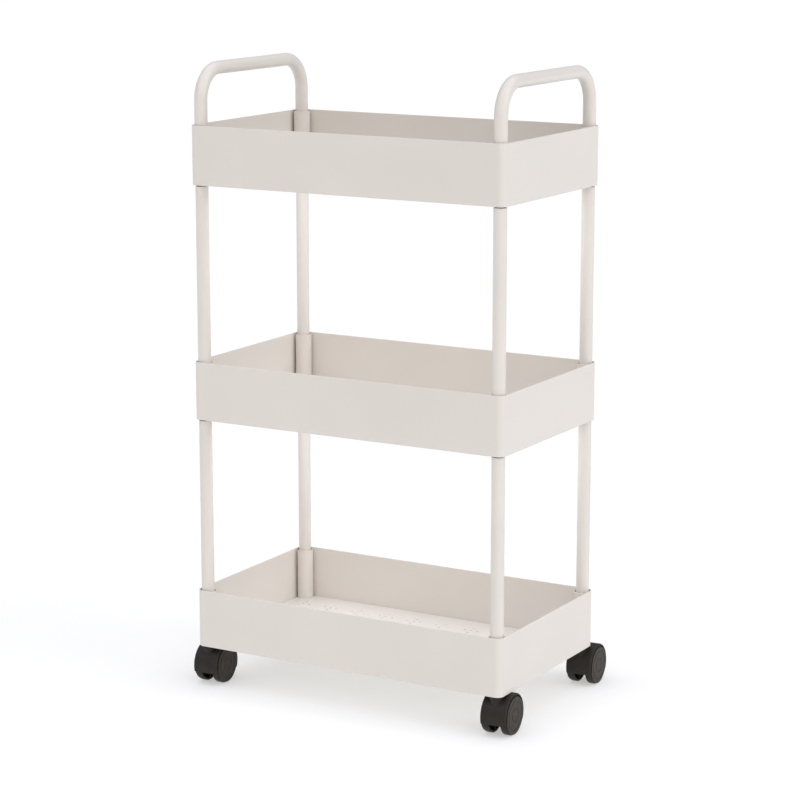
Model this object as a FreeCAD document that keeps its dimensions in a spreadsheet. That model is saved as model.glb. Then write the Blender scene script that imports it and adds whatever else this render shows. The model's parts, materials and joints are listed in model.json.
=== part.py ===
# Three-tier rolling pantry cart: sheet-steel trays on tube posts, with twin-wheel casters.
# Millimetres. +X runs along the trays, +Y to the back, +Z up.
# The origin is on the floor, midway between the four caster swivel axes.
import FreeCAD, Part
import math
import os
import Sketcher
from FreeCAD import Placement, Rotation, Vector

# Driving dimensions: name, value, meaning.
SIZES = [
    ("tray_length", 430, "outside length of a tray"),
    ("tray_depth", 250, "outside depth of a tray"),
    ("tray_height", 72.5, "height of a tray's wall band"),
    ("tray_pitch", 290.5, "height from one tray to the next"),
    ("tray_corner", 9, "outside corner radius of a tray"),
    ("wall_sheet", 1.2, "sheet thickness of the wall band"),
    ("floor_sheet", 1, "sheet thickness of the floor pan"),
    ("floor_recess", 5.1, "floor pan's underside above the band's lower edge"),
    ("ground_clearance", 51.5, "bottom tray's lower edge above the floor"),
    ("inset_along", 10.6, "post centre from the end wall's outside"),
    ("inset_across", 10.4, "post centre from the long wall's outside"),
    ("tube_diameter", 16, "outside diameter of posts and handles"),
    ("tube_wall", 1.2, "wall of posts and handles"),
    ("post_gap", 1.5, "post's top end below the tray above it"),
    ("handle_rise", 66.6, "handle bar's centre above the top tray's rim"),
    ("handle_bend", 38, "centre-line radius of a handle's two bends"),
    ("sleeve_bore", 9.5, "inside radius of a corner sleeve"),
    ("sleeve_sheet", 1.2, "sheet thickness of a corner sleeve"),
    ("sleeve_drop", 1.5, "sleeve's top below the tray's rim"),
    ("cluster_pitch", 41.9, "spacing of the floor's hole clusters"),
    ("cluster_radius", 9, "outer holes of a cluster from its centre"),
    ("vent_diameter", 4, "diameter of a hole in a cluster"),
    ("stud_diameter", 8, "joining studs and caster stems"),
    ("stud_hole", 8.6, "clearance hole for a stud in a tray floor"),
    ("stud_length", 40, "length of a joining stud"),
    ("plug_length", 20, "length of a plug inside its tube"),
    ("plug_chamfer", 0.8, "chamfer at a plug's inner end"),
    ("washer_diameter", 16, "caster washer"),
    ("washer_height", 1.5, "caster washer"),
    ("collar_flats", 13, "width over the flats of the hexagon collar on studs and stems"),
    ("collar_height", 3, "hexagon collar"),
    ("thread_length", 15, "stem's thread above the washer and floor"),
    ("pin_length", 20, "stem's plain pin below the collar"),
    ("groove_height", 1.6, "retaining ring and its groove"),
    ("groove_depth", 0.6, "retaining ring's groove in the pin"),
    ("groove_level", 5, "groove above the pin's lower end"),
    ("wheel_diameter", 48, "caster wheel"),
    ("wheel_width", 9.6, "caster wheel"),
    ("tread_round", 1.7, "rounding of a wheel's outer shoulder"),
    ("rim_wall", 2.4, "wheel's rim under the tread"),
    ("disc_wall", 2.2, "wheel's closed outer disc"),
    ("hub_diameter", 12.8, "wheel's hub"),
    ("hub_proud", 0.6, "hub beyond the wheel's inner side"),
    ("rib_sheet", 1.4, "thickness of a wheel's ribs"),
    ("cap_diameter", 18, "ring drawn on a wheel's outer disc"),
    ("cap_groove", 0.5, "depth of that ring"),
    ("caster_half", 17.4, "outer face of a wheel from the caster's middle"),
    ("caster_trail", 16, "axle behind the swivel axis"),
    ("caster_heading", 3, "degrees that each caster is swivelled at rest"),
    ("axle_diameter", 6, "caster axle"),
    ("axle_length", 29, "caster axle"),
    ("hood_half", 16.8, "half width of a caster's hood"),
    ("hood_bore", 24.7, "inside radius of the hood round its wheels"),
    ("hood_wall", 2.2, "thickness of the hood"),
    ("hood_round", 1.6, "rounding of the hood's side edges"),
    ("web_half", 6.8, "half width of the web between the wheels"),
    ("web_drop", 8, "web's lower edge below the axle"),
    ("web_tail", 10, "web's back edge behind the axle"),
    ("boss_diameter", 14.4, "boss round the stem"),
    ("boss_top", 51, "top of the boss above the floor"),
    ("stem_gap", 1.1, "stem's collar above the boss"),
    ("axle_float", 0.3, "gap between the axle's end and the wheel's disc"),
    ("running_gap", 0.05, "radial clearance of pins that turn"),
]

# The floor pan's hole clusters stand in a grid, and a cluster is one hole inside four.
CLUSTERS_ALONG = 10
CLUSTERS_ACROSS = 5

# A sleeve starts against the long wall and ends just short of the end wall (degrees,
# counted for the corner whose tray interior lies towards +X and +Y).
SLEEVE_START = -59
SLEEVE_END = 130

# The hood's ends, counted about the axle from the back (+Y) over the top (degrees).
HOOD_BACK = -24
HOOD_FRONT = 196

RIB_COUNT = 6

# Angles: radians for drawing arcs, degrees for everything else.
QUARTER_TURN = math.pi / 2
HALF_TURN = 180
FULL_TURN = 360

# An edge is the one looked for when its radius and its centre agree to this many millimetres.
MATCH = 0.001

# Which coordinate of a vector is meant.
ALONG = 0
UP = 2

SIDEWAYS = Rotation(Vector(0, 0, 1), Vector(1, 0, 0))
UPSIDE_DOWN = Rotation(Vector(1, 0, 0), HALF_TURN)

LEVELS = ["bottom", "middle", "top"]
CORNERS = {
    "front_left": (-1, -1),
    "front_right": (1, -1),
    "back_left": (-1, 1),
    "back_right": (1, 1),
}

doc = FreeCAD.newDocument("RollingPantryCart")
sheet = doc.addObject("Spreadsheet::Sheet", "Dimensions")
for row, (alias, value, meaning) in enumerate(SIZES, start=1):
    sheet.set(f"A{row}", meaning)
    sheet.set(f"B{row}", str(value))
    sheet.setAlias(f"B{row}", alias)
doc.recompute()

nodes = []


def size(alias):
    """A driving dimension's value from the sheet."""
    return float(sheet.get(alias))


def formula(text):
    """A formula with each alias in it written as a cell of the sheet."""
    for alias, _, _ in sorted(SIZES, key=lambda entry: -len(entry[0])):
        text = text.replace(alias, f"<<{alias}>>")
    return text.replace("<<", "Dimensions.").replace(">>", "")


def bind(thing, name, text):
    """Bind a property or a named constraint to a formula of the sheet's aliases."""
    thing.setExpression(name, formula(text))


def new_body(label):
    """An empty PartDesign body."""
    body = doc.addObject("PartDesign::Body", label)
    body.Label = label
    return body


def keep(part, label, place=None):
    """Name a finished sub-part, place it, and list it as a node to write."""
    part.Label = label
    if place is not None:
        part.Placement = place
    nodes.append(part)
    return part


def origin_feature(body, role):
    """One of a body's own origin planes or axes."""
    return next(item for item in body.Origin.OriginFeatures if item.Role == role)


def new_sketch(body, name, role, lift="0"):
    """A sketch on one of the body's origin planes, lifted along its normal by a formula."""
    sketch = body.newObject("Sketcher::SketchObject", f"{body.Name}_{name}")
    sketch.AttachmentSupport = [(origin_feature(body, role), "")]
    sketch.MapMode = "FlatFace"
    bind(sketch, "AttachmentOffset.Base.z", lift)
    return sketch


def dimension(sketch, name, text, *constraint):
    """A named driving constraint, bound to a formula."""
    index = sketch.addConstraint(Sketcher.Constraint(*constraint))
    sketch.renameConstraint(index, name)
    bind(sketch, f"Constraints.{name}", text)


def add_ring(sketch, name, diameter, value):
    """A circle about the sketch's origin."""
    circle = sketch.addGeometry(Part.Circle(Vector(), Vector(0, 0, 1), value / 2), False)
    sketch.addConstraint(Sketcher.Constraint("Coincident", circle, 3, -1, 1))
    dimension(sketch, name, diameter, "Diameter", circle, value)


def add_hole(sketch, name, at_x, at_y, diameter):
    """A circle away from the sketch's origin, at (value, formula) pairs."""
    centre = Vector(at_x[0], at_y[0], 0)
    circle = sketch.addGeometry(Part.Circle(centre, Vector(0, 0, 1), diameter[0] / 2), False)
    dimension(sketch, f"{name}_x", at_x[1], "DistanceX", -1, 1, circle, 3, at_x[0])
    dimension(sketch, f"{name}_y", at_y[1], "DistanceY", -1, 1, circle, 3, at_y[0])
    dimension(sketch, f"{name}_d", diameter[1], "Diameter", circle, diameter[0])


def add_tray_outline(sketch, name, moved_in):
    """A tray's rounded rectangle about the sketch's origin, moved in by some sheet thicknesses."""
    inset = sum(size(alias) for alias in moved_in)
    minus = "".join(f" - {alias}" for alias in moved_in)
    radius = size("tray_corner") - inset
    centre_x = size("tray_length") / 2 - size("tray_corner")
    centre_y = size("tray_depth") / 2 - size("tray_corner")
    arcs = []
    for quarter, (side_x, side_y) in enumerate([(1, 1), (-1, 1), (-1, -1), (1, -1)]):
        circle = Part.Circle(Vector(side_x * centre_x, side_y * centre_y, 0), Vector(0, 0, 1), radius)
        arc = Part.ArcOfCircle(circle, quarter * QUARTER_TURN, (quarter + 1) * QUARTER_TURN)
        arcs.append(sketch.addGeometry(arc, False))
    for quarter, arc in enumerate(arcs):
        following = arcs[(quarter + 1) % len(arcs)]
        edge = Part.LineSegment(sketch.getPoint(arc, 2), sketch.getPoint(following, 1))
        line = sketch.addGeometry(edge, False)
        sketch.addConstraint(Sketcher.Constraint("Tangent", arc, 2, line, 1))
        sketch.addConstraint(Sketcher.Constraint("Tangent", line, 2, following, 1))
        sketch.addConstraint(Sketcher.Constraint(("Horizontal", "Vertical")[quarter % 2], line))
        if quarter:
            sketch.addConstraint(Sketcher.Constraint("Equal", arcs[0], arc))
    sketch.addConstraint(Sketcher.Constraint("Symmetric", arcs[0], 3, arcs[2], 3, -1, 1))
    dimension(sketch, f"{name}_radius", f"tray_corner{minus}", "Radius", arcs[0], radius)
    half_x = "tray_length / 2 - tray_corner"
    half_y = "tray_depth / 2 - tray_corner"
    dimension(sketch, f"{name}_along", half_x, "DistanceX", -1, 1, arcs[0], 3, centre_x)
    dimension(sketch, f"{name}_across", half_y, "DistanceY", -1, 1, arcs[0], 3, centre_y)


def add_sector(sketch, name, inner, outer, start, end):
    """A curved strip about the sketch's origin; inner and outer are (value, formula) radii."""
    centre = Vector()
    arcs = []
    for radius in (inner, outer):
        circle = Part.Circle(centre, Vector(0, 0, 1), radius[0])
        arc = sketch.addGeometry(Part.ArcOfCircle(circle, math.radians(start), math.radians(end)), False)
        sketch.addConstraint(Sketcher.Constraint("Coincident", arc, 3, -1, 1))
        arcs.append(arc)
    dimension(sketch, f"{name}_inner", inner[1], "Radius", arcs[0], inner[0])
    dimension(sketch, f"{name}_outer", outer[1], "Radius", arcs[1], outer[0])
    for vertex, degrees in ((1, start), (2, end)):
        edge = Part.LineSegment(sketch.getPoint(arcs[0], vertex), sketch.getPoint(arcs[1], vertex))
        line = sketch.addGeometry(edge, False)
        sketch.addConstraint(Sketcher.Constraint("Coincident", line, 1, arcs[0], vertex))
        sketch.addConstraint(Sketcher.Constraint("Coincident", line, 2, arcs[1], vertex))
        sketch.addConstraint(Sketcher.Constraint("PointOnObject", -1, 1, line))
        sketch.addConstraint(Sketcher.Constraint("Angle", line, math.radians(degrees)))


def pad(body, sketch, name, length, middle=False):
    """A pad of the sketch, upwards or to both sides of its plane."""
    feature = body.newObject("PartDesign::Pad", f"{body.Name}_{name}")
    feature.Profile = sketch
    feature.SideType = "Symmetric" if middle else "One side"
    bind(feature, "Length", length)
    doc.recompute()
    return feature


def pocket(body, sketch, name, length):
    """A pocket of the sketch, downwards from its plane; it has to take material away."""
    before = body.Shape.Volume
    feature = body.newObject("PartDesign::Pocket", f"{body.Name}_{name}")
    feature.Profile = sketch
    bind(feature, "Length", length)
    doc.recompute()
    if body.Shape.Volume >= before:
        raise RuntimeError(f"{feature.Name} takes nothing away")
    return feature


def hole_grid(body, sketch, name, original, along, across):
    """Repeat a pocket over a rectangle; along and across are (count, whole length)."""
    grid = body.newObject("PartDesign::LinearPattern", f"{body.Name}_{name}")
    grid.Originals = [original]
    grid.Direction = (sketch, ["H_Axis"])
    grid.Occurrences = along[0]
    bind(grid, "Length", along[1])
    grid.Direction2 = (sketch, ["V_Axis"])
    grid.Occurrences2 = across[0]
    bind(grid, "Length2", across[1])
    body.Tip = grid
    doc.recompute()
    return grid


def primitive(body, kind, name, sizes, lift="0", turn=Rotation(), at=("0", "0")):
    """A PartDesign primitive, such as AdditiveCylinder, whose sizes are bound to formulas."""
    feature = body.newObject(f"PartDesign::{kind}", f"{body.Name}_{name}")
    for size_name, text in sizes.items():
        bind(feature, size_name, text)
    feature.Placement = Placement(Vector(), turn)
    bind(feature, "Placement.Base.x", at[0])
    bind(feature, "Placement.Base.y", at[1])
    bind(feature, "Placement.Base.z", lift)
    doc.recompute()
    return feature


def cylinder(body, kind, name, radius, height, lift="0", turn=Rotation(), at=("0", "0")):
    """A round primitive of the body."""
    return primitive(body, kind, name, {"Radius": radius, "Height": height}, lift, turn, at)


def edges_where(feature, test):
    """Names of the feature's edges that pass a test."""
    return [f"Edge{index}" for index, edge in enumerate(feature.Shape.Edges, start=1) if test(edge)]


def rings(radius, axis, *levels):
    """A test for round edges of one radius, centred at any of these places on an axis."""

    def is_ring(edge):
        curve = edge.Curve
        return (
            isinstance(curve, Part.Circle)
            and abs(curve.Radius - radius) < MATCH
            and any(abs(curve.Center[axis] - level) < MATCH for level in levels)
        )

    return is_ring


def dress(body, kind, name, amount, test):
    """A fillet or chamfer of the body's tip along the edges that pass a test."""
    base = body.Tip
    feature = body.newObject(f"PartDesign::{kind}", f"{body.Name}_{name}")
    feature.Base = (base, edges_where(base, test))
    bind(feature, "Radius" if kind == "Fillet" else "Size", amount)
    doc.recompute()
    return feature


def group(label, master, places):
    """Copies of one loose master piece, as separate solids of one node."""
    links = []
    for place in places:
        link = doc.addObject("App::Link", f"{label}_copy")
        link.LinkedObject = master
        link.Placement = place
        links.append(link)
    compound = doc.addObject("Part::Compound", label)
    compound.Links = links
    return keep(compound, label)


def tray_level(tier):
    """Height of a tray's lower edge above the floor; tier 0 is the bottom tray."""
    return size("ground_clearance") + tier * size("tray_pitch")


def on_post_axis(corner, height, turn=Rotation()):
    """Placement on a corner's post axis."""
    side_x, side_y = CORNERS[corner]
    return Placement(Vector(side_x * POST_X, side_y * POST_Y, height), turn)


def on_all_post_axes(height, turn=Rotation()):
    """Placements on the four post axes at one height."""
    return [on_post_axis(corner, height, turn) for corner in CORNERS]


def tray_walls(label, height):
    """Wall band of a tray: one strip of sheet, bent round four corners and welded."""
    body = new_body(label)
    outline = new_sketch(body, "outline", "XY_Plane")
    add_tray_outline(outline, "outside", [])
    add_tray_outline(outline, "inside", ["wall_sheet"])
    pad(body, outline, "band", "tray_height")
    return keep(body, label, Placement(Vector(0, 0, height), Rotation()))


def tray_floor(label, height):
    """Floor pan of a tray: perforated sheet whose flange is turned down inside the walls."""
    body = new_body(label)
    outline = new_sketch(body, "outline", "XY_Plane")
    add_tray_outline(outline, "edge", ["wall_sheet"])
    pad(body, outline, "blank", FLOOR_TOP_FORMULA)

    underside = new_sketch(body, "underside", "XY_Plane", "floor_recess")
    add_tray_outline(underside, "flange", ["wall_sheet", "floor_sheet"])
    pocket(body, underside, "hollow", "floor_recess")

    studs = new_sketch(body, "studs", "XY_Plane", FLOOR_TOP_FORMULA)
    add_hole(
        studs,
        "stud",
        (-POST_X, "inset_along - tray_length / 2"),
        (-POST_Y, "inset_across - tray_depth / 2"),
        (size("stud_hole"), "stud_hole"),
    )
    stud_hole = pocket(body, studs, "stud_hole", "2 * floor_sheet")
    along = (2, "tray_length - 2 * inset_along")
    across = (2, "tray_depth - 2 * inset_across")
    hole_grid(body, studs, "stud_holes", stud_hole, along, across)

    vents = new_sketch(body, "vents", "XY_Plane", FLOOR_TOP_FORMULA)
    first_x = (CLUSTERS_ALONG - 1) / 2
    first_y = (CLUSTERS_ACROSS - 1) / 2
    pitch = size("cluster_pitch")
    reach = size("cluster_radius")
    for index, (step_x, step_y) in enumerate([(0, 0), (1, 0), (-1, 0), (0, 1), (0, -1)]):
        add_hole(
            vents,
            f"vent{index}",
            (step_x * reach - first_x * pitch, f"{step_x} * cluster_radius - {first_x} * cluster_pitch"),
            (step_y * reach - first_y * pitch, f"{step_y} * cluster_radius - {first_y} * cluster_pitch"),
            (size("vent_diameter"), "vent_diameter"),
        )
    cluster = pocket(body, vents, "cluster", "2 * floor_sheet")
    along = (CLUSTERS_ALONG, f"{CLUSTERS_ALONG - 1} * cluster_pitch")
    across = (CLUSTERS_ACROSS, f"{CLUSTERS_ACROSS - 1} * cluster_pitch")
    hole_grid(body, vents, "clusters", cluster, along, across)
    return keep(body, label, Placement(Vector(0, 0, height), Rotation()))


def corner_sleeve(label, corner, height):
    """Curved strip round a post inside a tray's corner, open towards the end wall."""
    side_x, side_y = CORNERS[corner]
    start, end = SLEEVE_START, SLEEVE_END
    if side_x > 0:
        start, end = HALF_TURN - end, HALF_TURN - start
    if side_y > 0:
        start, end = -end, -start
    body = new_body(label)
    outline = new_sketch(body, "outline", "XY_Plane")
    inner = (size("sleeve_bore"), "sleeve_bore")
    outer = (size("sleeve_bore") + size("sleeve_sheet"), "sleeve_bore + sleeve_sheet")
    add_sector(outline, "strip", inner, outer, start, end)
    pad(body, outline, "sleeve", f"tray_height - {FLOOR_TOP_FORMULA} - sleeve_drop")
    return keep(body, label, on_post_axis(corner, height + FLOOR_TOP))


def add_tube_section(sketch):
    """The two circles of a tube's section about the sketch's origin."""
    add_ring(sketch, "outside", "tube_diameter", size("tube_diameter"))
    add_ring(sketch, "inside", TUBE_BORE_FORMULA, TUBE_BORE)


def post(label, corner, height):
    """Tube post standing on a tray's floor and ending just below the next tray."""
    body = new_body(label)
    section = new_sketch(body, "section", "XY_Plane")
    add_tube_section(section)
    pad(body, section, "tube", f"tray_pitch - {FLOOR_TOP_FORMULA} - post_gap")
    return keep(body, label, on_post_axis(corner, height + FLOOR_TOP))


def handle(label, side):
    """Tube bent to an upside-down U across one end, its two legs in the top tray's corners."""
    rise = size("tray_height") - FLOOR_TOP + size("handle_rise")
    bend = size("handle_bend")
    body = new_body(label)
    path = new_sketch(body, "path", "YZ_Plane")
    leg_top = rise - bend
    bar_end = 2 * POST_Y - bend
    middle = bend * (1 - math.cos(QUARTER_TURN / 2))
    points = [
        Part.LineSegment(Vector(0, 0, 0), Vector(0, leg_top, 0)),
        Part.Arc(Vector(0, leg_top, 0), Vector(middle, rise - middle, 0), Vector(bend, rise, 0)),
        Part.LineSegment(Vector(bend, rise, 0), Vector(bar_end, rise, 0)),
        Part.Arc(
            Vector(bar_end, rise, 0),
            Vector(2 * POST_Y - middle, rise - middle, 0),
            Vector(2 * POST_Y, leg_top, 0),
        ),
        Part.LineSegment(Vector(2 * POST_Y, leg_top, 0), Vector(2 * POST_Y, 0, 0)),
    ]
    front_leg, front_bend, bar, back_bend, back_leg = [path.addGeometry(edge, False) for edge in points]
    path.addConstraint(Sketcher.Constraint("Coincident", front_leg, 1, -1, 1))
    path.addConstraint(Sketcher.Constraint("Vertical", front_leg))
    path.addConstraint(Sketcher.Constraint("Horizontal", bar))
    path.addConstraint(Sketcher.Constraint("Vertical", back_leg))
    path.addConstraint(Sketcher.Constraint("PointOnObject", back_leg, 2, -1))
    path.addConstraint(Sketcher.Constraint("Equal", front_bend, back_bend))
    dimension(path, "span", "tray_depth - 2 * inset_across", "DistanceX", -1, 1, back_leg, 2, 2 * POST_Y)
    rise_formula = f"tray_height - {FLOOR_TOP_FORMULA} + handle_rise"
    dimension(path, "rise", rise_formula, "DistanceY", -1, 1, bar, 1, rise)
    dimension(path, "bend", "handle_bend", "Radius", front_bend, bend)
    joints = [
        (front_leg, 2, front_bend),
        (bar, 1, front_bend),
        (bar, 2, back_bend),
        (back_leg, 1, back_bend),
    ]
    for line, vertex, arc in joints:
        joint = path.getPoint(line, vertex)
        touching = min((1, 2), key=lambda end: path.getPoint(arc, end).distanceToPoint(joint))
        path.addConstraint(Sketcher.Constraint("Tangent", line, vertex, arc, touching))
    section = new_sketch(body, "section", "XY_Plane")
    add_tube_section(section)
    doc.recompute()
    tube = body.newObject("PartDesign::AdditivePipe", f"{body.Name}_tube")
    tube.Profile = section
    tube.Spine = path
    doc.recompute()
    foot = Vector(side * POST_X, -POST_Y, tray_level(LEVELS.index("top")) + FLOOR_TOP)
    return keep(body, label, Placement(foot, Rotation()))


def tube_plug():
    """Threaded plug in the end of a tube, drawn from the tube's end up."""
    body = new_body("tube_plug_master")
    cylinder(body, "AdditiveCylinder", "barrel", f"{TUBE_BORE_FORMULA} / 2", "plug_length")
    dress(body, "Chamfer", "lead", "plug_chamfer", rings(TUBE_BORE / 2, UP, size("plug_length")))
    cylinder(body, "SubtractiveCylinder", "thread", "stud_diameter / 2", "plug_length")
    return body


def add_collar(body, lift="0"):
    """Hexagon collar of a stud or stem, standing on the given height."""
    across = {"Polygon": "6", "Circumradius": "collar_flats / sqrt(3)", "Height": "collar_height"}
    primitive(body, "AdditivePrism", "collar", across, lift)


def joining_stud():
    """Stud that joins two tubes through a tray, drawn from the floor pan's underside.

    The tray rests on its collar, and the rod shows in the gap above the post.
    """
    body = new_body("joining_stud_master")
    reach = size("stud_length") / 2
    cylinder(body, "AdditiveCylinder", "rod", "stud_diameter / 2", "stud_length", "-stud_length / 2")
    add_collar(body, "-collar_height")
    dress(body, "Chamfer", "ends", "plug_chamfer", rings(size("stud_diameter") / 2, UP, reach, -reach))
    return body


def caster_washer():
    """Washer between a stem's collar and the bottom tray's floor."""
    body = new_body("caster_washer_master")
    section = new_sketch(body, "section", "XY_Plane")
    add_ring(section, "outside", "washer_diameter", size("washer_diameter"))
    add_ring(section, "inside", "stud_hole", size("stud_hole"))
    pad(body, section, "washer", "washer_height")
    return body


def retaining_ring():
    """Split ring in a stem's groove, drawn closed; it keeps the hood on the pin."""
    body = new_body("retaining_ring_master")
    section = new_sketch(body, "section", "XY_Plane")
    outside = size("stud_diameter") + 3 * size("groove_depth")
    add_ring(section, "outside", "stud_diameter + 3 * groove_depth", outside)
    add_ring(section, "inside", "stud_diameter - 2 * groove_depth", GROOVE_FLOOR)
    pad(body, section, "ring", "groove_height")
    return body


def caster_place(corner, offset=Vector(), turn=Rotation()):
    """Placement in a corner's caster, which is swivelled by its heading at rest."""
    swivel = Rotation(Vector(0, 0, 1), size("caster_heading"))
    return Placement(on_post_axis(corner, 0).Base, swivel) * Placement(offset, turn)


def caster_stem(label, corner):
    """Stem with a plain pin below its hexagon collar and a thread above it."""
    body = new_body(label)
    radius = size("stud_diameter") / 2
    groove_top = "groove_level + groove_height - pin_length"
    cylinder(body, "AdditiveCylinder", "pin", "stud_diameter / 2", "pin_length", "-pin_length")
    add_collar(body)
    above = "washer_height + floor_sheet + thread_length"
    cylinder(body, "AdditiveCylinder", "thread", "stud_diameter / 2", above, "collar_height")
    stack = ("collar_height", "washer_height", "floor_sheet", "thread_length")
    thread_top = sum(size(alias) for alias in stack)
    dress(body, "Chamfer", "ends", "plug_chamfer", rings(radius, UP, thread_top, -size("pin_length")))
    groove = new_sketch(body, "groove", "XY_Plane", groove_top)
    add_ring(groove, "floor", "stud_diameter - 2 * groove_depth", GROOVE_FLOOR)
    add_ring(groove, "outside", "2 * stud_diameter", 2 * size("stud_diameter"))
    pocket(body, groove, "ring_groove", "groove_height")
    return keep(body, label, caster_place(corner, Vector(0, 0, COLLAR_LEVEL)))


def caster_hood(label, corner):
    """Moulded hood over both wheels, with the web that holds the axle and the stem's boss."""
    body = new_body(label)
    axle_level = size("wheel_diameter") / 2
    web = new_sketch(body, "web", "YZ_Plane")
    add_hole(
        web,
        "web",
        (size("caster_trail"), "caster_trail"),
        (axle_level, "wheel_diameter / 2"),
        (2 * size("hood_bore") + size("hood_wall"), "2 * hood_bore + hood_wall"),
    )
    pad(body, web, "web_disc", "2 * web_half", middle=True)
    below = {"Length": "4 * web_half", "Width": "2 * wheel_diameter", "Height": "wheel_diameter"}
    corner_below = ("-2 * web_half", "caster_trail - wheel_diameter")
    primitive(body, "SubtractiveBox", "web_below", below, "-wheel_diameter / 2 - web_drop", at=corner_below)
    behind = {"Length": "4 * web_half", "Width": "wheel_diameter", "Height": "2 * wheel_diameter"}
    corner_behind = ("-2 * web_half", "caster_trail + web_tail")
    primitive(body, "SubtractiveBox", "web_behind", behind, "0", at=corner_behind)

    fender = new_sketch(body, "fender", "YZ_Plane")
    bind(fender, "AttachmentOffset.Base.x", "caster_trail")
    bind(fender, "AttachmentOffset.Base.y", "wheel_diameter / 2")
    inner = (size("hood_bore"), "hood_bore")
    outer = (size("hood_bore") + size("hood_wall"), "hood_bore + hood_wall")
    add_sector(fender, "fender", inner, outer, HOOD_BACK, HOOD_FRONT)
    pad(body, fender, "fender_shell", "2 * hood_half", middle=True)
    side_edges = rings(outer[0], ALONG, size("hood_half"), -size("hood_half"))
    dress(body, "Fillet", "rounding", "hood_round", side_edges)
    boss_height = "boss_top - wheel_diameter / 2"
    cylinder(body, "AdditiveCylinder", "boss", "boss_diameter / 2", boss_height, "wheel_diameter / 2")
    socket_radius = "stud_diameter / 2 + running_gap"
    socket_foot = "boss_top - pin_length"
    cylinder(body, "SubtractiveCylinder", "socket", socket_radius, "pin_length", socket_foot)
    cylinder(
        body,
        "SubtractiveCylinder",
        "ring_seat",
        "stud_diameter / 2 + 2 * groove_depth",
        "groove_height + groove_depth",
        f"{socket_foot} + stem_gap + groove_level - groove_depth / 2",
    )
    cylinder(
        body,
        "SubtractiveCylinder",
        "axle_bore",
        "axle_diameter / 2",
        "4 * web_half",
        "wheel_diameter / 2",
        SIDEWAYS,
        ("-2 * web_half", "caster_trail"),
    )
    return keep(body, label, caster_place(corner))


def caster_axle(label, corner):
    """Plain steel pin pressed into the hood's web."""
    body = new_body(label)
    radius = size("axle_diameter") / 2
    reach = size("axle_length") / 2
    cylinder(body, "AdditiveCylinder", "pin", "axle_diameter / 2", "axle_length", "-axle_length / 2")
    dress(body, "Chamfer", "ends", "plug_chamfer / 2", rings(radius, UP, reach, -reach))
    centre = Vector(0, size("caster_trail"), size("wheel_diameter") / 2)
    return keep(body, label, caster_place(corner, centre, Rotation(Vector(0, 1, 0), 90)))


def caster_wheel(label, corner, side):
    """Moulded wheel: a cup with a tread, a closed outer disc, a hub and ribs.

    It is drawn with its inner side at z = 0 and its outer disc at z = wheel_width.
    """
    body = new_body(label)
    radius = size("wheel_diameter") / 2
    cylinder(body, "AdditiveCylinder", "tread", "wheel_diameter / 2", "wheel_width")
    dress(body, "Fillet", "shoulder", "tread_round", rings(radius, UP, size("wheel_width")))
    dress(body, "Fillet", "inner_edge", "tread_round / 2", rings(radius, UP, 0))
    cup_depth = "wheel_width - disc_wall"
    cylinder(body, "SubtractiveCylinder", "cup", "wheel_diameter / 2 - rim_wall", cup_depth)
    cylinder(body, "AdditiveCylinder", "hub", "hub_diameter / 2", f"{cup_depth} + hub_proud", "-hub_proud")
    rib_sizes = {
        "Length": "wheel_diameter / 2 - rim_wall / 2",
        "Width": "rib_sheet",
        "Height": f"{cup_depth} - hub_proud",
    }
    rib = primitive(body, "AdditiveBox", "rib", rib_sizes, "hub_proud", at=("0", "-rib_sheet / 2"))
    ribs = body.newObject("PartDesign::PolarPattern", f"{body.Name}_ribs")
    ribs.Originals = [rib]
    ribs.Axis = (origin_feature(body, "Z_Axis"), [""])
    ribs.Angle = FULL_TURN
    ribs.Occurrences = RIB_COUNT
    body.Tip = ribs
    doc.recompute()
    bore = "axle_diameter / 2 + running_gap"
    bore_depth = "axle_length / 2 + axle_float - caster_half + wheel_width + hub_proud"
    cylinder(body, "SubtractiveCylinder", "bore", bore, bore_depth, "-hub_proud")
    cap = new_sketch(body, "cap", "XY_Plane", "wheel_width")
    add_ring(cap, "outside", "cap_diameter", size("cap_diameter"))
    add_ring(cap, "inside", "cap_diameter - 4 * cap_groove", size("cap_diameter") - 4 * size("cap_groove"))
    pocket(body, cap, "cap_line", "cap_groove")
    centre = Vector(side * (size("caster_half") - size("wheel_width")), size("caster_trail"), radius)
    return keep(body, label, caster_place(corner, centre, Rotation(Vector(0, 1, 0), side * 90)))


POST_X = size("tray_length") / 2 - size("inset_along")
POST_Y = size("tray_depth") / 2 - size("inset_across")
FLOOR_TOP = size("floor_recess") + size("floor_sheet")
FLOOR_TOP_FORMULA = "(floor_recess + floor_sheet)"
TUBE_BORE = size("tube_diameter") - 2 * size("tube_wall")
TUBE_BORE_FORMULA = "(tube_diameter - 2 * tube_wall)"
GROOVE_FLOOR = size("stud_diameter") - 2 * size("groove_depth")
COLLAR_LEVEL = tray_level(0) + size("floor_recess") - size("washer_height") - size("collar_height")

for tier, level in enumerate(LEVELS):
    tray_walls(f"{level}_tray_walls", tray_level(tier))
    tray_floor(f"{level}_tray_floor", tray_level(tier))
    for corner in CORNERS:
        corner_sleeve(f"{level}_tray_{corner}_sleeve", corner, tray_level(tier))

for tier, storey in enumerate(["lower", "upper"]):
    for corner in CORNERS:
        post(f"{storey}_{corner}_post", corner, tray_level(tier))

handle("left_handle", -1)
handle("right_handle", 1)

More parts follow.
